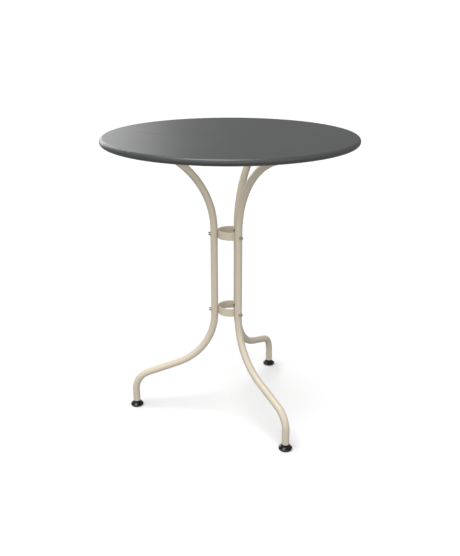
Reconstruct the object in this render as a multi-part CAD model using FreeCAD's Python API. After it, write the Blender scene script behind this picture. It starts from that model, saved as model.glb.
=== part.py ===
import FreeCAD, Part
import math
import os

# Round bistro table: a pressed steel top on three bent tube legs.
# Millimetres. +Z is up, and the origin is on the floor under the centre of the top.
# Each leg is drawn in the XZ plane, outwards along +X, and turned to its place about Z.

os.makedirs("parts", exist_ok=True)

# ---- driving dimensions ----

# table top: a sheet disc with its edge rolled under into a round hollow bead
table_height = 715.0
top_diameter = 600.0
top_sheet = 1.2
bead_diameter = 15.0
bead_sweep = 290.0

# folded channels spot welded under the top, one above each leg: shallow ribs with deep cheeks
# at their outer ends, which hold the leg's end between them
channel_sheet = 2.0
channel_corner = 3.0
channel_depth = 12.0
channel_start = 24.0
cheek_clearance = 0.25
cheek_margin = 6.5
cheek_flare = 34.0

# legs
leg_places = {"left": 180.0, "rear": 60.0, "front": -60.0}
tube_diameter = 18.0
tube_wall = 1.5
leg_end_drop = 24.0
upper_bend_radius = 206.0
upper_bend_turn = 80.0
leg_slope = 19.3
lower_bend_radius = 145.0
foot_bend_radius = 52.0
foot_circle_radius = 249.0
foot_straight = 34.0

# flat bar rings that hold the three legs together
ring_diameter = 60.0
ring_height = 20.0
ring_bar = 3.0
upper_ring_drop = 10.8
lower_ring_rise = 13.7

# M5 low head cap screws, saddle washers, sleeve nuts and lock nuts
screw_diameter = 5.0
screw_clearance = 0.2
thread_clearance = 0.05
head_diameter = 8.5
head_height = 3.5
head_edge = 0.5
head_socket = 4.0
head_socket_depth = 2.0
washer_diameter = 9.2
washer_thickness = 1.4
sleeve_diameter = 6.6
sleeve_head_diameter = 8.8
sleeve_head_height = 2.0
sleeve_socket = 4.0
sleeve_socket_depth = 3.0
sleeve_reach = 4.0
bolt_tip_gap = 2.0
lock_nut_size = 8.0
lock_nut_height = 4.0
lock_nut_collar = 6.9
lock_nut_collar_height = 1.2
leg_screw_inset = 12.0
leg_screw_pitch = 26.0
leg_screw_tip = 0.6

# plastic plugs in the upper tube ends
plug_length = 8.0
plug_head = 2.0
plug_clearance = 0.2

# levelling feet: a threaded insert in the tube, and an M8 spindle that turns in a swivel pad
foot_height = 15.0
pad_diameter = 32.6
pad_widest_height = 4.0
pad_rim = 1.6
pad_dish_height = 9.0
pad_neck_diameter = 18.4
pad_neck_edge = 0.6
pad_neck_fillet = 1.5
pad_bottom_diameter = 27.0
pad_floor_gap = 0.6
sole_diameter = 24.0
sole_thickness = 2.5
sole_clearance = 0.05
sole_chamfer = 0.4
spindle_diameter = 8.0
spindle_length = 31.0
spindle_tip_chamfer = 1.0
collar_size = 10.0
collar_height = 5.0
flange_diameter = 13.0
flange_thickness = 3.0
pocket_height = 4.5
pocket_clearance = 0.4
bearing_clearance = 0.05
axial_play = 0.2
stop_gap = 0.3
insert_length = 20.0
insert_clearance = 0.05

# ---- places worked out from them ----

tube_radius = tube_diameter / 2
tube_bore = tube_radius - tube_wall
column_radius = ring_diameter / 2 + tube_radius
bead_radius = bead_diameter / 2
sheet_underside = table_height - top_sheet
upper_bend_rise = upper_bend_radius * math.sin(math.radians(upper_bend_turn))
upper_tangent = sheet_underside - leg_end_drop - upper_bend_rise
upper_centre = (column_radius + upper_bend_radius, upper_tangent)
channel_width = tube_diameter + 2 * (cheek_clearance + channel_sheet)

# the sloping run joins the lower bend to the foot bend
turn = math.radians(90.0 - leg_slope)
foot_tangent = foot_height + foot_straight
foot_centre = foot_circle_radius - foot_bend_radius
slope_end = (
    foot_centre + foot_bend_radius * math.cos(turn),
    foot_tangent + foot_bend_radius * math.sin(turn),
)
slope_start_radius = column_radius + lower_bend_radius * (1 - math.cos(turn))
slope_start_height = slope_end[1] + (slope_end[0] - slope_start_radius) / math.tan(turn)
lower_tangent = slope_start_height + lower_bend_radius * math.sin(turn)
ring_heights = {"upper": upper_tangent - upper_ring_drop, "lower": lower_tangent + lower_ring_rise}

# fasteners
screw_radius = screw_diameter / 2
screw_hole = screw_radius + screw_clearance
nut_bore = screw_radius + thread_clearance
sleeve_hole = sleeve_diameter / 2 + screw_clearance
ring_inner_radius = ring_diameter / 2 - ring_bar
sleeve_seat = math.sqrt(ring_inner_radius ** 2 - (sleeve_head_diameter / 2) ** 2)
sleeve_end = column_radius - tube_bore + sleeve_reach
ring_bolt_seat = column_radius + tube_radius + washer_thickness
ring_bolt_tip = sleeve_seat - sleeve_head_height + sleeve_socket_depth + bolt_tip_gap
leg_screw_length = channel_width + lock_nut_height + lock_nut_collar_height + leg_screw_tip

# feet
pad_top = foot_height - stop_gap
pocket_roof = sole_thickness + pocket_height
flange_top = pocket_roof - axial_play
collar_bottom = pad_top + axial_play
collar_top = collar_bottom + collar_height
spindle_tip = collar_top + spindle_length
insert_bottom = collar_top + stop_gap


# ---- drawing helpers ----

# leans that point a piece along +X and -X
outwards = 90.0
inwards = -90.0


def point(radius, height):
    return FreeCAD.Vector(radius, 0, height)


def on_circle(centre, radius, degrees):
    angle = math.radians(degrees)
    return (centre[0] + radius * math.cos(angle), centre[1] + radius * math.sin(angle))


# A place on the leg's upper bend, measured back along its axis from the tube's end.
def upper_bend_place(distance):
    back = math.degrees(distance / upper_bend_radius)
    return on_circle(upper_centre, upper_bend_radius, 180 - upper_bend_turn + back)


# Edges in the XZ plane. A step is an end point, or a middle and an end point for an arc.
def path(start, steps):
    edges = []
    here = point(*start)
    for step in steps:
        end = point(*step[-1])
        if len(step) == 1:
            edges.append(Part.LineSegment(here, end).toShape())
        else:
            edges.append(Part.Arc(here, point(*step[0]), end).toShape())
        here = end
    return edges


# A closed outline in the XZ plane, turned about the Z axis.
def turned(start, steps):
    wire = Part.Wire(path(start, steps + [[start]]))
    return Part.Face(wire).revolve(FreeCAD.Vector(0, 0, 0), FreeCAD.Vector(0, 0, 1), 360)


def rod(radius, low, high):
    return Part.makeCylinder(radius, high - low, FreeCAD.Vector(0, 0, low))


def hexagon(across_flats, low, high):
    corner = across_flats / math.sqrt(3)
    corners = [FreeCAD.Vector(*on_circle((0, 0), corner, 60 * side), low) for side in range(7)]
    return Part.Face(Part.makePolygon(corners)).extrude(FreeCAD.Vector(0, 0, high - low))


# Stands a piece drawn along +Z at a place on the XZ plane, leaning outwards by the given angle.
def placed(piece, radius, height, lean=0.0):
    rotation = FreeCAD.Rotation(FreeCAD.Vector(0, 1, 0), lean)
    copy = piece.copy()
    copy.Placement = FreeCAD.Placement(point(radius, height), rotation)
    return copy


# Lays a piece drawn along +Z across the leg, pointing along +Y.
def across(piece, radius, offset, height):
    rotation = FreeCAD.Rotation(FreeCAD.Vector(1, 0, 0), -90)
    copy = piece.copy()
    copy.Placement = FreeCAD.Placement(FreeCAD.Vector(radius, offset, height), rotation)
    return copy


def at_leg(piece, degrees):
    copy = piece.copy()
    copy.rotate(FreeCAD.Vector(0, 0, 0), FreeCAD.Vector(0, 0, 1), degrees)
    return copy


def at_every_leg(pieces):
    angles = leg_places.values()
    return Part.makeCompound([at_leg(piece, degrees) for degrees in angles for piece in pieces])


def save(name, shape):
    shape.exportStep("parts/" + name + ".step")


# ---- table top and its channels ----

leg_screw_places = [
    upper_bend_place(leg_screw_inset + leg_screw_pitch),
    upper_bend_place(leg_screw_inset),
]


def table_top():
    flat_radius = top_diameter / 2 - bead_radius
    centre = (flat_radius, table_height - bead_radius)
    inner = bead_radius - top_sheet
    middle_angle = 90 - bead_sweep / 2
    end_angle = 90 - bead_sweep
    outside = [on_circle(centre, bead_radius, middle_angle), on_circle(centre, bead_radius, end_angle)]
    inside = [on_circle(centre, inner, middle_angle), (flat_radius, sheet_underside)]
    return turned((0, table_height), [
        [(flat_radius, table_height)],
        outside,
        [on_circle(centre, inner, end_angle)],
        inside,
        [(0, sheet_underside)],
    ])


# The web lies on the sheet. The cheeks follow the leg's end below its screws.
def channel():
    inner_screw, outer_screw = leg_screw_places
    end = upper_bend_place(0)
    rise = math.atan2(outer_screw[1] - inner_screw[1], outer_screw[0] - inner_screw[0])
    drop = cheek_margin / math.cos(rise)
    low_start = inner_screw[0] - cheek_margin / 2
    low_end = end[0] + channel_sheet
    low_height = inner_screw[1] - drop - cheek_margin / 2 * math.tan(rise)
    rib_height = sheet_underside - channel_depth
    side = [
        (channel_start, sheet_underside),
        (channel_start, rib_height),
        (low_start - cheek_flare, rib_height),
        (low_start, low_height),
        (low_end, low_height + (low_end - low_start) * math.tan(rise)),
        (low_end, sheet_underside),
    ]
    corners = [FreeCAD.Vector(radius, -channel_width / 2, height) for radius, height in side + side[:1]]
    bar = Part.Face(Part.makePolygon(corners)).extrude(FreeCAD.Vector(0, channel_width, 0))
    bar = bar.makeFillet(channel_corner, long_edges(bar, sheet_underside))
    inside = Part.makeBox(low_end, channel_width - 2 * channel_sheet, table_height,
                          FreeCAD.Vector(0, channel_sheet - channel_width / 2, 0))
    inside.translate(FreeCAD.Vector(0, 0, sheet_underside - channel_sheet - table_height))
    inner_corner = channel_corner - channel_sheet
    inside = inside.makeFillet(inner_corner, long_edges(inside, sheet_underside - channel_sheet))
    return drill_leg_screws(bar.cut(inside))


# The edges along +X at one height.
def long_edges(shape, height):
    level = [edge for edge in shape.Edges if abs(edge.CenterOfMass.z - height) < 0.01]
    return [edge for edge in level if abs(edge.tangentAt(edge.FirstParameter).x) > 0.99]


def drill_leg_screws(shape):
    for radius, height in leg_screw_places:
        hole = rod(screw_hole, -channel_width, channel_width)
        shape = shape.cut(across(hole, radius, 0, height))
    return shape


# ---- legs and rings ----

def leg():
    lower_centre = (column_radius + lower_bend_radius, lower_tangent)
    bend_centre = (foot_centre, foot_tangent)
    slope = math.degrees(turn)
    start = upper_bend_place(0)
    steps = [
        [on_circle(upper_centre, upper_bend_radius, 180 - upper_bend_turn / 2),
         (column_radius, upper_tangent)],
        [(column_radius, lower_tangent)],
        [on_circle(lower_centre, lower_bend_radius, 180 + slope / 2),
         on_circle(lower_centre, lower_bend_radius, 180 + slope)],
        [slope_end],
        [on_circle(bend_centre, foot_bend_radius, slope / 2), (foot_circle_radius, foot_tangent)],
        [(foot_circle_radius, foot_height)],
    ]
    spine = Part.Wire(path(start, steps))
    lean = math.radians(upper_bend_turn)
    skins = []
    for radius in (tube_radius, tube_bore):
        circle = Part.makeCircle(radius, point(*start), point(-math.sin(lean), -math.cos(lean)))
        skins.append(spine.makePipeShell([Part.Wire(circle)], True, True))
    tube = drill_leg_screws(skins[0].cut(skins[1]))
    for height in ring_heights.values():
        tube = drill_ring_bolt(tube, height)
    return tube


# The outer wall takes the screw, and the inner wall and the ring take the sleeve nut.
def drill_ring_bolt(shape, height):
    outer = rod(screw_hole, 0, 2 * tube_radius)
    inner = rod(sleeve_hole, 0, column_radius)
    shape = shape.cut(placed(outer, column_radius, height, outwards))
    return shape.cut(placed(inner, 0, height, outwards))


def ring(height):
    low = height - ring_height / 2
    high = height + ring_height / 2
    band = rod(ring_diameter / 2, low, high).cut(rod(ring_inner_radius, low, high))
    for degrees in leg_places.values():
        hole = placed(rod(sleeve_hole, 0, column_radius), 0, height, outwards)
        band = band.cut(at_leg(hole, degrees))
    return band


# ---- fasteners ----

# Drawn with its head above z = 0 and its shank below.
def cap_screw(length):
    radius = head_diameter / 2
    head = turned((0, 0), [
        [(radius, 0)],
        [(radius, head_height - head_edge)],
        [on_circle((radius - head_edge, head_height - head_edge), head_edge, 45),
         (radius - head_edge, head_height)],
        [(0, head_height)],
    ])
    head = head.cut(hexagon(head_socket, head_height - head_socket_depth, head_height))
    return head.fuse(rod(screw_radius, -length, 0)).removeSplitter()


# A washer with a hollowed face that sits on the tube, which runs along X.
def saddle_washer():
    tube_axis = -washer_thickness - tube_radius
    body = rod(washer_diameter / 2, tube_axis + tube_radius / 2, 0)
    body = body.cut(rod(screw_hole, tube_axis, 0))
    tube = Part.makeCylinder(tube_radius, 2 * washer_diameter,
                             FreeCAD.Vector(-washer_diameter, 0, tube_axis), FreeCAD.Vector(1, 0, 0))
    return body.cut(tube)


# Drawn with its head above z = 0 and its sleeve below.
def sleeve_nut():
    length = sleeve_end - sleeve_seat
    edge = sleeve_head_height / 2
    head = turned((0, 0), [
        [(sleeve_head_diameter / 2, 0)],
        [(sleeve_head_diameter / 2, edge)],
        [on_circle((sleeve_head_diameter / 2 - edge, edge), edge, 45),
         (sleeve_head_diameter / 2 - edge, sleeve_head_height)],
        [(0, sleeve_head_height)],
    ])
    nut = head.fuse(rod(sleeve_diameter / 2, -length, 0)).removeSplitter()
    socket_floor = sleeve_head_height - sleeve_socket_depth
    nut = nut.cut(hexagon(sleeve_socket, socket_floor, sleeve_head_height))
    return nut.cut(rod(nut_bore, -length, socket_floor))


def ring_fasteners():
    bolt = cap_screw(ring_bolt_seat - ring_bolt_tip)
    washer = saddle_washer()
    nut = sleeve_nut()
    bolts = [placed(bolt, ring_bolt_seat, height, outwards) for height in ring_heights.values()]
    washers = [placed(washer, ring_bolt_seat, height, outwards) for height in ring_heights.values()]
    nuts = [placed(nut, sleeve_seat, height, inwards) for height in ring_heights.values()]
    return bolts, washers, nuts


# A nut with a narrower collar that holds its locking ring, drawn with its seat at z = 0 and the
# collar below.
def lock_nut():
    nut = hexagon(lock_nut_size, -lock_nut_height, 0)
    collar = rod(lock_nut_collar / 2, -lock_nut_height - lock_nut_collar_height, -lock_nut_height)
    nut = nut.fuse(collar)
    return nut.cut(rod(nut_bore, -lock_nut_height - lock_nut_collar_height, 0))


# Two screws go across each leg's end, through the cheeks of its channel.
def leg_fasteners():
    screw = cap_screw(leg_screw_length)
    nut = lock_nut()
    half = channel_width / 2
    screws = [across(screw, radius, half, height) for radius, height in leg_screw_places]
    nuts = [across(nut, radius, -half, height) for radius, height in leg_screw_places]
    return screws, nuts


def end_plug():
    body = rod(tube_bore - plug_clearance, -plug_length, 0)
    edge = plug_head / 2
    head = turned((0, 0), [
        [(tube_radius, 0)],
        [(tube_radius, plug_head - edge)],
        [on_circle((tube_radius - edge, plug_head - edge), edge, 45), (tube_radius - edge, plug_head)],
        [(0, plug_head)],
    ])
    plug = body.fuse(head).removeSplitter()
    return placed(plug, *upper_bend_place(0), upper_bend_turn)


# ---- levelling foot, drawn about the Z axis and moved out to the leg ----

def foot_insert():
    top = insert_bottom + insert_length
    body = rod(tube_bore - insert_clearance, insert_bottom, top)
    return body.cut(rod(spindle_diameter / 2 + bearing_clearance, insert_bottom, top))


def foot_spindle():
    radius = spindle_diameter / 2
    shank = turned((0, flange_top - flange_thickness), [
        [(flange_diameter / 2, flange_top - flange_thickness)],
        [(flange_diameter / 2, flange_top)],
        [(radius, flange_top)],
        [(radius, spindle_tip - spindle_tip_chamfer)],
        [(radius - spindle_tip_chamfer, spindle_tip)],
        [(0, spindle_tip)],
    ])
    return shank.fuse(hexagon(collar_size, collar_bottom, collar_top)).removeSplitter()


# A dish with a rounded rim and a straight neck that the tube stops on. The spindle's flange turns
# in its pocket, and the sole closes it from below.
def foot_pad():
    widest = pad_diameter / 2
    neck = pad_neck_diameter / 2
    bottom = pad_bottom_diameter / 2
    dish = neck + pad_neck_fillet
    fillet_centre = (dish, pad_dish_height + pad_neck_fillet)
    rim_centre = (widest - pad_rim, pad_widest_height)
    across_dish, drop = rim_centre[0] - dish, pad_dish_height - pad_widest_height
    tangent = math.asin(pad_rim / math.hypot(across_dish, drop))
    facing = math.degrees(math.atan2(across_dish, drop) + tangent)
    rise = pad_widest_height - pad_floor_gap
    lower_curve = (bottom + (widest - bottom) * 0.8, pad_floor_gap + rise * 0.4)
    recess = sole_diameter / 2
    pocket = flange_diameter / 2 + pocket_clearance
    hole = spindle_diameter / 2 + bearing_clearance
    return turned((hole, pad_top), [
        [(neck - pad_neck_edge, pad_top)],
        [(neck, pad_top - pad_neck_edge)],
        [(neck, fillet_centre[1])],
        [on_circle(fillet_centre, pad_neck_fillet, 225), (dish, pad_dish_height)],
        [on_circle(rim_centre, pad_rim, facing)],
        [on_circle(rim_centre, pad_rim, facing / 2), (widest, pad_widest_height)],
        [lower_curve, (bottom, pad_floor_gap)],
        [(recess, pad_floor_gap)],
        [(recess, sole_thickness)],
        [(pocket, sole_thickness)],
        [(pocket, pocket_roof)],
        [(hole, pocket_roof)],
    ])


def foot_sole():
    radius = sole_diameter / 2 - sole_clearance
    return turned((0, 0), [
        [(radius - sole_chamfer, 0)],
        [(radius, sole_chamfer)],
        [(radius, sole_thickness)],
        [(0, sole_thickness)],
    ])


# ---- the pieces ----

save("table_top", table_top())
for ring_name, ring_height_on_column in ring_heights.items():
    save(ring_name + "_ring", ring(ring_height_on_column))

leg_pieces = {
    "channel": channel(),
    "leg": leg(),
    "leg_plug": end_plug(),
    "foot_insert": placed(foot_insert(), foot_circle_radius, 0),
    "foot_spindle": placed(foot_spindle(), foot_circle_radius, 0),
    "foot_pad": placed(foot_pad(), foot_circle_radius, 0),
    "foot_sole": placed(foot_sole(), foot_circle_radius, 0),
}
for leg_name, leg_angle in leg_places.items():
    for piece_name, piece in leg_pieces.items():
        save(piece_name + "_" + leg_name, at_leg(piece, leg_angle))

ring_bolts, ring_washers, ring_nuts = ring_fasteners()
leg_screws, leg_nuts = leg_fasteners()
save("ring_bolts", at_every_leg(ring_bolts))
save("ring_bolt_washers", at_every_leg(ring_washers))
save("ring_sleeve_nuts", at_every_leg(ring_nuts))
save("leg_screws", at_every_leg(leg_screws))
save("leg_screw_nuts", at_every_leg(leg_nuts))
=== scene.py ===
import math

import bpy
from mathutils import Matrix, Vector


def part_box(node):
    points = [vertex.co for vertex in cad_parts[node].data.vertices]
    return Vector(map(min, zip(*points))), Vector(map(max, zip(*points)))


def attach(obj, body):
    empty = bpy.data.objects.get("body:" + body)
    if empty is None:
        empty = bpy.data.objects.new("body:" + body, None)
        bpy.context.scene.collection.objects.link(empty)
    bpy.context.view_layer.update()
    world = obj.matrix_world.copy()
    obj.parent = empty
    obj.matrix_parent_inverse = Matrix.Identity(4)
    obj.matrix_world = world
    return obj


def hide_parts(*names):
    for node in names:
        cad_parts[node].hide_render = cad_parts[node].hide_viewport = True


# Round bistro table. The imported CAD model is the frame, and everything here is in metres.
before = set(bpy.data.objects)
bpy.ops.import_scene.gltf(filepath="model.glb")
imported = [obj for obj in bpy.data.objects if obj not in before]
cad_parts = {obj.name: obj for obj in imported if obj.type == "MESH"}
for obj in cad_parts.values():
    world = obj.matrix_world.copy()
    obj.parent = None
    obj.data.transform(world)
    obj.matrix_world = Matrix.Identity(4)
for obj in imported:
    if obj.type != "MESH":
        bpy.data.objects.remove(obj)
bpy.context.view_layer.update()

mm = 0.001
legNames = ["left", "rear", "front"]
white = (1.0, 1.0, 1.0, 1.0)

# Nodes are laid out in rows, in the order they are made.
nodeGrid = {"across": 8, "stepX": 220, "stepY": 300}
# The Mix node's colour sockets are found by place, because their names repeat.
mixSockets = {"first": 6, "second": 7, "result": 2}
# A mask at this level changes nothing.
neutral = 0.5


def placeNode(tree, node):
    row, column = divmod(len(tree.nodes) - 1, nodeGrid["across"])
    node.location = (column * nodeGrid["stepX"], -row * nodeGrid["stepY"])
    return node


def addNode(tree, kind, values=None, **settings):
    node = placeNode(tree, tree.nodes.new("ShaderNode" + kind))
    for name, value in settings.items():
        setattr(node, name, value)
    for name, value in (values or {}).items():
        node.inputs[name].default_value = value
    return node


def join(tree, output, entry):
    tree.links.new(output, entry)


# Sets a socket to a number or a colour, or links another node's output to it.
def feed(tree, term, entry):
    if isinstance(term, (int, float, tuple)):
        entry.default_value = term
    else:
        join(tree, term, entry)


def addMath(tree, operation, *terms):
    node = addNode(tree, "Math", operation=operation)
    for entry, term in zip(node.inputs, terms):
        feed(tree, term, entry)
    return node.outputs[0]


# Spreads a mask between two levels, from where it starts to where it ends.
def addRange(tree, mask, low, high, start=0.0, end=1.0, smooth=False):
    node = addNode(tree, "MapRange", interpolation_type="SMOOTHSTEP" if smooth else "LINEAR")
    for name, value in (("Value", mask), ("From Min", start), ("From Max", end),
                        ("To Min", low), ("To Max", high)):
        feed(tree, value, node.inputs[name])
    return node.outputs["Result"]


def addBlend(tree, factor, first, second):
    node = addNode(tree, "Mix", data_type="RGBA")
    join(tree, factor, node.inputs["Factor"])
    feed(tree, first, node.inputs[mixSockets["first"]])
    feed(tree, second, node.inputs[mixSockets["second"]])
    return node.outputs[mixSockets["result"]]


# A noise whose feature size is given in millimetres.
def addNoise(tree, place, size, detail=2.0, roughness=0.5, distortion=0.0):
    noise = addNode(tree, "TexNoise",
                    {"Detail": detail, "Roughness": roughness, "Distortion": distortion})
    join(tree, place, noise.inputs["Vector"])
    if isinstance(size, (int, float)):
        noise.inputs["Scale"].default_value = 1 / (size * mm)
    else:
        join(tree, addMath(tree, "DIVIDE", 1 / mm, size), noise.inputs["Scale"])
    return noise.outputs["Fac"]


# Swings a value to both sides of its base by a mask.
def addSwing(tree, base, mask, spread):
    offset = addMath(tree, "SUBTRACT", mask, neutral)
    return addMath(tree, "ADD", addMath(tree, "MULTIPLY", offset, spread), base)


# Darkens or lightens a colour by a mask.
def addShade(tree, colour, mask, spread):
    shade = addNode(tree, "VectorMath", operation="SCALE")
    join(tree, colour, shade.inputs[0])
    join(tree, addSwing(tree, 1.0, mask, spread), shade.inputs["Scale"])
    return shade.outputs["Vector"]


def startGroup(name, inputs, outputs):
    tree = bpy.data.node_groups.new(name, "ShaderNodeTree")
    for label, value in inputs.items():
        kind = "NodeSocketColor" if isinstance(value, tuple) else "NodeSocketFloat"
        socket = tree.interface.new_socket(name=label, in_out="INPUT", socket_type=kind)
        socket.default_value = value
    for label in outputs:
        kind = "NodeSocketColor" if label == "Colour" else "NodeSocketFloat"
        tree.interface.new_socket(name=label, in_out="OUTPUT", socket_type=kind)
    place = addNode(tree, "TexCoord").outputs["Object"]
    given = placeNode(tree, tree.nodes.new("NodeGroupInput"))
    made = placeNode(tree, tree.nodes.new("NodeGroupOutput"))
    return tree, given.outputs, made.inputs, place


# The skin of baked powder: a long soft ripple with a fine tooth on it, and slow drifts of shade.
# Drift and tooth share in the roughness.
powderShape = {
    "drift": {"detail": 3.0, "roughness": 0.6, "distortion": 0.4}, "driftShare": 0.6,
    "ripple": {"detail": 1.5, "roughness": 0.45, "distortion": 0.3},
    "tooth": {"detail": 3.0, "roughness": 0.65}, "toothShare": 0.4,
}


def makePowderSkin():
    tree, given, made, place = startGroup("powderSkin", {
        "Colour": (0.5, 0.5, 0.5, 1.0), "Shade Spread": 0.1, "Drift Size": 120.0,
        "Ripple Size": 2.2, "Ripple Height": 1.0, "Tooth Size": 0.45, "Tooth Height": 0.3,
        "Roughness": 0.4, "Roughness Spread": 0.1,
    }, ["Colour", "Roughness", "Height"])
    drift = addNoise(tree, place, given["Drift Size"], **powderShape["drift"])
    ripple = addNoise(tree, place, given["Ripple Size"], **powderShape["ripple"])
    tooth = addNoise(tree, place, given["Tooth Size"], **powderShape["tooth"])
    join(tree, addShade(tree, given["Colour"], drift, given["Shade Spread"]), made["Colour"])
    high = addMath(tree, "MULTIPLY", ripple, given["Ripple Height"])
    fine = addMath(tree, "MULTIPLY", tooth, given["Tooth Height"])
    join(tree, addMath(tree, "ADD", high, fine), made["Height"])
    mixed = addMath(tree, "ADD", addMath(tree, "MULTIPLY", drift, powderShape["driftShare"]),
                    addMath(tree, "MULTIPLY", tooth, powderShape["toothShare"]))
    join(tree, addSwing(tree, given["Roughness"], mixed, given["Roughness Spread"]),
         made["Roughness"])
    return tree


# Wipe marks and settled dust, as a mask that lifts roughness and pales the colour a little.
handlingShape = {
    "turn": (0.2, 0.1, 0.7), "stretch": (1.0, 4.5, 1.0),
    "streak": {"detail": 4.0, "roughness": 0.6, "distortion": 1.2},
    "streakStart": 0.52, "streakEnd": 0.74,
    "dust": {"detail": 2.0, "roughness": 0.7},
    "dustStart": 0.62, "dustEnd": 0.78, "dustMost": 0.6,
}


def makeHandling():
    tree, given, made, place = startGroup("handling", {
        "Streak Size": 60.0, "Dust Size": 1.5, "Amount": 0.3,
    }, ["Mask"])
    turn = addNode(tree, "Mapping",
                   {"Rotation": handlingShape["turn"], "Scale": handlingShape["stretch"]},
                   vector_type="TEXTURE")
    join(tree, place, turn.inputs["Vector"])
    streak = addNoise(tree, turn.outputs["Vector"], given["Streak Size"], **handlingShape["streak"])
    wiped = addRange(tree, streak, 0.0, 1.0,
                     handlingShape["streakStart"], handlingShape["streakEnd"], True)
    dust = addNoise(tree, place, given["Dust Size"], **handlingShape["dust"])
    specks = addRange(tree, dust, 0.0, handlingShape["dustMost"],
                      handlingShape["dustStart"], handlingShape["dustEnd"], True)
    both = addMath(tree, "MAXIMUM", wiped, specks)
    join(tree, addMath(tree, "MULTIPLY", both, given["Amount"]), made["Mask"])
    return tree


# Zinc plate: cloudy passivation with a faint colour cast, and the fine lines of turning.
zincShape = {
    "cloud": {"detail": 4.0, "roughness": 0.6, "distortion": 0.8},
    "castStart": 0.35, "castEnd": 0.72,
    "line": {"detail": 2.0, "roughness": 0.6}, "lineShade": 0.12,
}


def makeZincPlate():
    tree, given, made, place = startGroup("zincPlate", {
        "Colour": (0.7, 0.7, 0.7, 1.0), "Cast": (0.7, 0.66, 0.5, 1.0), "Cloud Size": 3.0,
        "Line Size": 0.25, "Roughness": 0.3, "Roughness Spread": 0.15,
    }, ["Colour", "Roughness", "Height"])
    cloud = addNoise(tree, place, given["Cloud Size"], **zincShape["cloud"])
    stained = addRange(tree, cloud, 0.0, 1.0, zincShape["castStart"], zincShape["castEnd"], True)
    tinted = addBlend(tree, stained, given["Colour"], given["Cast"])
    line = addNoise(tree, place, given["Line Size"], **zincShape["line"])
    join(tree, addShade(tree, tinted, line, zincShape["lineShade"]), made["Colour"])
    join(tree, addSwing(tree, given["Roughness"], cloud, given["Roughness Spread"]),
         made["Roughness"])
    join(tree, line, made["Height"])
    return tree


# Moulded surface: spark-eroded texture, slow sinks, and scuffs that dull the lowest edge.
mouldShape = {
    "fine": {"detail": 3.0, "roughness": 0.7}, "fineShade": 0.3,
    "sink": {"detail": 1.0, "roughness": 0.4},
    "scratch": {"size": 1.1, "detail": 5.0, "roughness": 0.75, "distortion": 2.0},
    "scratchStart": 0.5, "scratchEnd": 0.68, "scuffFade": 0.4, "scuffDull": 0.35,
}


def makeMouldSkin():
    tree, given, made, place = startGroup("mouldSkin", {
        "Colour": (0.02, 0.02, 0.02, 1.0), "Scuff Colour": (0.2, 0.2, 0.19, 1.0),
        "Scuff Height": 3.0, "Texture Size": 0.3, "Texture Depth": 0.3, "Sink Size": 9.0,
        "Sink Depth": 1.0, "Roughness": 0.3, "Roughness Spread": 0.1,
    }, ["Colour", "Roughness", "Height"])
    fine = addNoise(tree, place, given["Texture Size"], **mouldShape["fine"])
    sink = addNoise(tree, place, given["Sink Size"], **mouldShape["sink"])
    scratch = addNoise(tree, place, **mouldShape["scratch"])
    split = addNode(tree, "SeparateXYZ")
    join(tree, place, split.inputs["Vector"])
    level = addMath(tree, "DIVIDE", split.outputs["Z"],
                    addMath(tree, "MULTIPLY", given["Scuff Height"], mm))
    near = addRange(tree, level, 1.0, 0.0, mouldShape["scuffFade"], 1.0, True)
    worn = addMath(tree, "MULTIPLY", near,
                   addRange(tree, scratch, 0.0, 1.0,
                            mouldShape["scratchStart"], mouldShape["scratchEnd"], True))
    mixed = addBlend(tree, worn, given["Colour"], given["Scuff Colour"])
    join(tree, addShade(tree, mixed, fine, mouldShape["fineShade"]), made["Colour"])
    plain = addSwing(tree, given["Roughness"], fine, given["Roughness Spread"])
    dulled = addMath(tree, "MULTIPLY", worn, mouldShape["scuffDull"])
    join(tree, addMath(tree, "ADD", plain, dulled), made["Roughness"])
    join(tree, addMath(tree, "ADD", addMath(tree, "MULTIPLY", fine, given["Texture Depth"]),
                       addMath(tree, "MULTIPLY", sink, given["Sink Depth"])), made["Height"])
    return tree


powderSkin = makePowderSkin()
handling = makeHandling()
zincPlate = makeZincPlate()
mouldSkin = makeMouldSkin()
print("shared effects ready")


def startMaterial(name, shown):
    material = bpy.data.materials.new(name)
    material.use_nodes = True
    material.diffuse_color = shown
    tree = material.node_tree
    tree.nodes.clear()
    output = addNode(tree, "OutputMaterial")
    shader = addNode(tree, "BsdfPrincipled")
    join(tree, shader.outputs["BSDF"], output.inputs["Surface"])
    return material, tree, shader


def addEffect(tree, group, values):
    node = placeNode(tree, tree.nodes.new("ShaderNodeGroup"))
    node.node_tree = group
    for name, value in values.items():
        node.inputs[name].default_value = value
    return node.outputs


# A finish over one shared skin. Where it has marks, they pale the colour and dull the surface.
# A recipe's depth is in millimetres.
def makeFinish(name, group, recipe):
    material, tree, shader = startMaterial(name, recipe["skin"]["Colour"])
    skin = addEffect(tree, group, recipe["skin"])
    colour, roughness = skin["Colour"], skin["Roughness"]
    if "marks" in recipe:
        mask = addEffect(tree, handling, recipe["marks"])["Mask"]
        colour = addBlend(tree, mask, colour, recipe["dustColour"])
        roughness = addMath(tree, "ADD", roughness,
                            addMath(tree, "MULTIPLY", mask, recipe["marksDull"]))
    join(tree, colour, shader.inputs["Base Color"])
    join(tree, roughness, shader.inputs["Roughness"])
    shader.inputs["IOR"].default_value = recipe["ior"]
    shader.inputs["Metallic"].default_value = recipe["metallic"]
    bump = addNode(tree, "Bump", {"Strength": recipe["strength"], "Distance": recipe["depth"] * mm})
    join(tree, skin["Height"], bump.inputs["Height"])
    join(tree, bump.outputs["Normal"], shader.inputs["Normal"])
    return material


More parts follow.
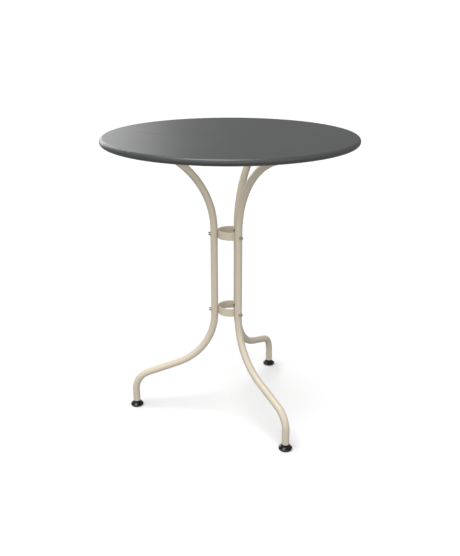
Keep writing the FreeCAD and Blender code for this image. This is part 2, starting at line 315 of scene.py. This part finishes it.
anthracite = {
    "skin": {"Colour": (0.052, 0.055, 0.054, 1.0), "Shade Spread": 0.12, "Drift Size": 140.0,
             "Ripple Size": 2.4, "Ripple Height": 0.7, "Tooth Size": 0.5, "Tooth Height": 0.5,
             "Roughness": 0.36, "Roughness Spread": 0.08},
    "marks": {"Streak Size": 70.0, "Dust Size": 1.6, "Amount": 0.035},
    "dustColour": (0.42, 0.42, 0.40, 1.0), "marksDull": 1.2,
    "metallic": 0.0, "ior": 1.5, "depth": 0.02, "strength": 0.6,
}
cream = {
    "skin": {"Colour": (0.638, 0.566, 0.447, 1.0), "Shade Spread": 0.05, "Drift Size": 60.0,
             "Ripple Size": 1.8, "Ripple Height": 0.7, "Tooth Size": 0.4, "Tooth Height": 0.4,
             "Roughness": 0.34, "Roughness Spread": 0.1},
    "marks": {"Streak Size": 30.0, "Dust Size": 1.2, "Amount": 0.05},
    "dustColour": (0.55, 0.50, 0.40, 1.0), "marksDull": 1.5,
    "metallic": 0.0, "ior": 1.5, "depth": 0.02, "strength": 0.6,
}
zinc = {
    "skin": {"Colour": (0.57, 0.575, 0.58, 1.0), "Cast": (0.61, 0.57, 0.47, 1.0),
             "Cloud Size": 2.5, "Line Size": 0.22, "Roughness": 0.22, "Roughness Spread": 0.2},
    "metallic": 1.0, "ior": 1.5, "depth": 0.01, "strength": 0.5,
}
glossBlack = {
    "skin": {"Colour": (0.006, 0.006, 0.0065, 1.0), "Scuff Colour": (0.10, 0.10, 0.095, 1.0),
             "Scuff Height": 2.5, "Texture Size": 0.25, "Texture Depth": 0.12,
             "Sink Size": 11.0, "Sink Depth": 1.0, "Roughness": 0.2, "Roughness Spread": 0.06},
    "metallic": 0.0, "ior": 1.4, "depth": 0.05, "strength": 0.5,
}
satinBlack = {
    "skin": {"Colour": (0.018, 0.018, 0.019, 1.0), "Scuff Colour": (0.10, 0.10, 0.095, 1.0),
             "Scuff Height": 1.0, "Texture Size": 0.3, "Texture Depth": 0.5, "Sink Size": 8.0,
             "Sink Depth": 0.6, "Roughness": 0.48, "Roughness Spread": 0.15},
    "metallic": 0.0, "ior": 1.49, "depth": 0.03, "strength": 0.6,
}
rubber = {
    "skin": {"Colour": (0.022, 0.022, 0.023, 1.0), "Scuff Colour": (0.16, 0.155, 0.145, 1.0),
             "Scuff Height": 1.6, "Texture Size": 0.5, "Texture Depth": 0.8, "Sink Size": 6.0,
             "Sink Depth": 0.6, "Roughness": 0.78, "Roughness Spread": 0.12},
    "metallic": 0.0, "ior": 1.5, "depth": 0.06, "strength": 0.7,
}

finishes = {
    "top_paint": makeFinish("anthracitePowder", powderSkin, anthracite),
    "frame_paint": makeFinish("creamPowder", powderSkin, cream),
    "plated_steel": makeFinish("zincPlated", zincPlate, zinc),
    "gloss_plastic": makeFinish("glossBlackPlastic", mouldSkin, glossBlack),
    "black_plastic": makeFinish("satinBlackPlastic", mouldSkin, satinBlack),
    "black_rubber": makeFinish("blackRubber", mouldSkin, rubber),
}

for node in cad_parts.values():
    slotName = node.material_slots[0].material.name
    node.material_slots[0].material = finishes[slotName]
print("finishes on", len(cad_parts), "CAD nodes")


def addPiece(name, vertices, faces, slotName, body):
    mesh = bpy.data.meshes.new(name)
    mesh.from_pydata(vertices, [], faces)
    mesh.validate()
    mesh.polygons.foreach_set("use_smooth", [True] * len(mesh.polygons))
    piece = bpy.data.objects.new(name, mesh)
    bpy.context.scene.collection.objects.link(piece)
    mesh.materials.append(finishes[slotName])
    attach(piece, body)
    return piece


# Levelling spindle: a flanged heel, a hexagon collar, and a rolled thread with a real helix above
# it. Sizes are in millimetres and heights are above the floor. Crest and root flat are shares of
# the pitch, and the collar's face is the radius of its round end.
spindle = {
    "radius": 4.0, "root": 3.39, "pitch": 1.25, "crest": 0.14, "rootFlat": 0.26,
    "collarAcross": 10.0, "collarLow": 14.9, "collarHigh": 19.9, "collarChamfer": 0.45,
    "collarFace": 4.75, "chamferSteps": 5,
    "relief": 0.9, "tipChamfer": 1.0,
    "flangeRadius": 6.5, "flangeLow": 3.8, "flangeHigh": 6.8, "flangeEdge": 0.35,
    "endRadius": 0.01, "around": 48, "stepsPerPitch": 12, "sharpDegrees": 32.0,
}


# Height of the thread above its root, from 0 to 1, for a place along one pitch.
def threadProfile(along):
    crest, rootFlat = spindle["crest"], spindle["rootFlat"]
    flank = (1 - crest - rootFlat) / 2
    rise = min(along, 1 - along)
    return min(1.0, max(0.0, (rise - rootFlat / 2) / flank))


def ringOfPoints(radiusAt, height):
    count = spindle["around"]
    turns = [2 * math.pi * step / count for step in range(count)]
    return [(radiusAt(angle) * math.cos(angle), radiusAt(angle) * math.sin(angle), height)
            for angle in turns]


def makeSpindle(legName):
    low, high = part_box("foot_spindle_" + legName)
    centreX, centreY = (low.x + high.x) / 2, (low.y + high.y) / 2
    tip = high.z / mm
    radius, root, pitch = spindle["radius"], spindle["root"], spindle["pitch"]
    rings = []

    def plain(size, height):
        rings.append(ringOfPoints(lambda angle: size, height))

    apothem = spindle["collarAcross"] / 2
    corner = apothem / math.cos(math.pi / 6)

    # a hexagon cut by the cone of the chamfer, which reaches from the round face to the corners
    def hexRing(share, height):
        cone = spindle["collarFace"] + (corner - spindle["collarFace"]) * share

        def reach(angle):
            inSector = (angle % (math.pi / 3)) - math.pi / 6
            return min(apothem / math.cos(inSector), cone)
        rings.append(ringOfPoints(reach, height))

    # flange, neck and collar
    edge = spindle["flangeEdge"]
    plain(spindle["endRadius"], spindle["flangeLow"])
    plain(spindle["flangeRadius"] - edge, spindle["flangeLow"])
    plain(spindle["flangeRadius"], spindle["flangeLow"] + edge)
    plain(spindle["flangeRadius"], spindle["flangeHigh"] - edge)
    plain(spindle["flangeRadius"] - edge, spindle["flangeHigh"])
    plain(radius, spindle["flangeHigh"])
    plain(radius, spindle["collarLow"])
    collarRow = len(rings) - 1
    shares = [step / spindle["chamferSteps"] for step in range(spindle["chamferSteps"] + 1)]
    for share in shares:
        hexRing(share, spindle["collarLow"] + spindle["collarChamfer"] * share)
    for share in reversed(shares):
        hexRing(share, spindle["collarHigh"] - spindle["collarChamfer"] * share)
    plain(root, spindle["collarHigh"])
    neckRow = len(rings) - 1
    threadStart = spindle["collarHigh"] + spindle["relief"]

    # thread, faded in above the relief and down at the tip's chamfer
    step = pitch / spindle["stepsPerPitch"]
    rows = int((tip - threadStart) / step)
    for row in range(rows + 1):
        height = threadStart + (tip - threadStart) * row / rows
        fade = min(1.0, (height - threadStart) / pitch)
        limit = min(radius, radius - spindle["tipChamfer"] + (tip - height))

        def reach(angle):
            along = (height / pitch - angle / (2 * math.pi)) % 1.0
            return min(limit, root + (radius - root) * threadProfile(along) * fade)
        rings.append(ringOfPoints(reach, height))
    plain(spindle["endRadius"], tip)

    count = spindle["around"]
    vertices = [(centreX + x * mm, centreY + y * mm, z * mm) for ring in rings for x, y, z in ring]
    faces = []
    for row in range(len(rings) - 1):
        for column in range(count):
            after = (column + 1) % count
            faces.append((row * count + column, row * count + after,
                          (row + 1) * count + after, (row + 1) * count + column))
    faces.append(tuple(reversed(range(count))))
    faces.append(tuple(range((len(rings) - 1) * count, len(rings) * count)))
    piece = addPiece("threaded_spindle_" + legName, vertices, faces, "plated_steel",
                     "foot_screw_" + legName)
    piece.data.set_sharp_from_angle(angle=math.radians(spindle["sharpDegrees"]))
    for polygon in piece.data.polygons[collarRow * count:neckRow * count]:
        polygon.use_smooth = False
    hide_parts("foot_spindle_" + legName)


for legName in legNames:
    makeSpindle(legName)
print("spindles threaded")


# The floor looks pale but throws little light back. The mottle's size is in millimetres.
floor = {
    "size": 24.0, "shown": 0.86, "bounce": 0.29, "speckle": 0.02, "mottle": 900.0,
    "roughness": 0.95, "plainColour": (0.9, 0.9, 0.9, 1.0),
}


def makeFloor():
    half = floor["size"] / 2
    mesh = bpy.data.meshes.new("studioFloor")
    mesh.from_pydata([(-half, -half, 0), (half, -half, 0), (half, half, 0), (-half, half, 0)], [],
                     [(0, 1, 2, 3)])
    piece = bpy.data.objects.new("studioFloor", mesh)
    bpy.context.scene.collection.objects.link(piece)
    material, tree, shader = startMaterial("paleFloor", floor["plainColour"])
    place = addNode(tree, "TexCoord").outputs["Object"]
    mottle = addNoise(tree, place, floor["mottle"])
    shown = addRange(tree, mottle, floor["shown"], floor["shown"] + floor["speckle"])
    seen = addNode(tree, "LightPath").outputs["Is Camera Ray"]
    unseen = addMath(tree, "SUBTRACT", 1.0, seen)
    shade = addMath(tree, "ADD", addMath(tree, "MULTIPLY", shown, seen),
                    addMath(tree, "MULTIPLY", floor["bounce"], unseen))
    join(tree, shade, shader.inputs["Base Color"])
    shader.inputs["Roughness"].default_value = floor["roughness"]
    shader.inputs["Specular IOR Level"].default_value = 0.0
    mesh.materials.append(material)


# The room: an even dome, brighter in front, with a dim wall behind and to the right and a bright
# panel behind to the left, both of which the top mirrors. Bearings are in degrees from straight
# behind, heights and depths are shares of a unit direction, and the rest is radiance.
room = {
    "dome": 0.45, "front": 0.72, "frontStart": -0.1, "frontEnd": -0.8,
    "wall": 0.245, "wallBearing": -2.0, "wallFade": 60.0, "wallEnd": 95.0,
    "panel": 3.3, "panelBearing": -15.0, "panelFade": -30.0, "panelEnd": -48.0,
    "topFade": 0.33, "wallTop": 0.55, "shown": 1.15,
}


def makeRoom():
    world = bpy.data.worlds.new("studioRoom")
    bpy.context.scene.world = world
    world.use_nodes = True
    tree = world.node_tree
    tree.nodes.clear()
    output = addNode(tree, "OutputWorld")
    direction = addNode(tree, "TexCoord").outputs["Generated"]
    split = addNode(tree, "SeparateXYZ")
    join(tree, direction, split.inputs["Vector"])
    x, y, z = split.outputs["X"], split.outputs["Y"], split.outputs["Z"]
    ahead = addRange(tree, y, 0.0, room["front"], room["frontStart"], room["frontEnd"], True)
    dome = addMath(tree, "ADD", ahead, room["dome"])
    bearing = addMath(tree, "MULTIPLY", addMath(tree, "ARCTAN2", x, y), 180 / math.pi)
    low = addRange(tree, z, 1.0, 0.0, room["topFade"], room["wallTop"], True)

    wall = addRange(tree, bearing, 0.0, 1.0, room["panelBearing"], room["wallBearing"])
    wallEnd = addRange(tree, bearing, 1.0, 0.0, room["wallFade"], room["wallEnd"], True)
    dim = addMath(tree, "MULTIPLY", addMath(tree, "MULTIPLY", wall, wallEnd), low)
    lit = addRange(tree, dim, dome, room["wall"])

    panelEnd = addRange(tree, bearing, 0.0, 1.0, room["panelEnd"], room["panelFade"], True)
    beside = addMath(tree, "MULTIPLY", panelEnd, addMath(tree, "SUBTRACT", 1.0, wall))
    panel = addMath(tree, "MULTIPLY", beside, low)
    lit = addMath(tree, "ADD", lit,
                  addMath(tree, "MULTIPLY", panel, room["panel"] - room["dome"]))

    light = addNode(tree, "Background", {"Color": white})
    join(tree, lit, light.inputs["Strength"])
    seen = addNode(tree, "Background", {"Color": white, "Strength": room["shown"]})
    ray = addNode(tree, "LightPath")
    chosen = addNode(tree, "MixShader")
    join(tree, ray.outputs["Is Camera Ray"], chosen.inputs[0])
    join(tree, light.outputs[0], chosen.inputs[1])
    join(tree, seen.outputs[0], chosen.inputs[2])
    join(tree, chosen.outputs[0], output.inputs["Surface"])


# Lamps. Their light passes the top and its channels, so that it reaches the legs and only the
# rest marks the floor. The fill isn't mirrored. The glint is only mirrored, so it brightens
# highlights such as the rim's and nothing else. The ceiling's spread is in degrees.
ceiling = {"from": (-0.24, -0.04, 1.0), "spread": 36.0, "strength": 1.85}
fill = {"place": (-0.5, -3.1, 1.5), "aim": (0.0, 0.0, 0.4), "size": 2.2, "radiance": 1.4}
glint = {"place": (-0.12, -0.2, 3.2), "aim": (0.0, -0.1, 0.7), "size": 0.9, "radiance": 6.5}


def addLamp(name, kind, place, aim, energy):
    lamp = bpy.data.lights.new(name, kind)
    lamp.energy = energy
    holder = bpy.data.objects.new(name, lamp)
    holder.location = place
    holder.rotation_euler = (Vector(aim) - Vector(place)).to_track_quat("-Z", "Y").to_euler()
    holder.visible_camera = False
    bpy.context.scene.collection.objects.link(holder)
    return holder


def addPanelLamp(name, lamp):
    holder = addLamp(name, "AREA", lamp["place"], lamp["aim"],
                     lamp["radiance"] * math.pi * lamp["size"] ** 2)
    holder.data.size = lamp["size"]
    return holder


def makeLamps():
    blockers = bpy.data.collections.new("lampBlockers")
    for name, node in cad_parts.items():
        if name != "table_top" and not name.startswith("channel"):
            blockers.objects.link(node)
    diffuser = addLamp("ceilingDiffuser", "SUN", ceiling["from"], (0, 0, 0), ceiling["strength"])
    diffuser.data.angle = math.radians(ceiling["spread"])
    side = addPanelLamp("fillSoftbox", fill)
    side.visible_glossy = False
    strip = addPanelLamp("edgeStrip", glint)
    strip.visible_diffuse = False
    for lamp in (diffuser, side, strip):
        lamp.light_linking.blocker_collection = blockers


# Angles are in radians, lens and sensor in millimetres.
viewpoint = {
    "place": (-0.0609, -1.5729, 0.9611), "pitch": 0.3654, "heading": 0.0387,
    "lens": 43.52, "sensor": 36.0, "nearest": 0.05, "farthest": 60.0,
}


def makeCamera():
    lens = bpy.data.cameras.new("studioCamera")
    lens.lens = viewpoint["lens"]
    lens.sensor_width = viewpoint["sensor"]
    lens.clip_start, lens.clip_end = viewpoint["nearest"], viewpoint["farthest"]
    camera = bpy.data.objects.new("studioCamera", lens)
    camera.location = viewpoint["place"]
    camera.rotation_euler = (math.pi / 2 - viewpoint["pitch"], 0.0, -viewpoint["heading"])
    bpy.context.scene.collection.objects.link(camera)
    bpy.context.scene.camera = camera


makeFloor()
makeRoom()
makeLamps()
makeCamera()
bpy.context.scene.view_settings.view_transform = "Standard"
print("studio ready")
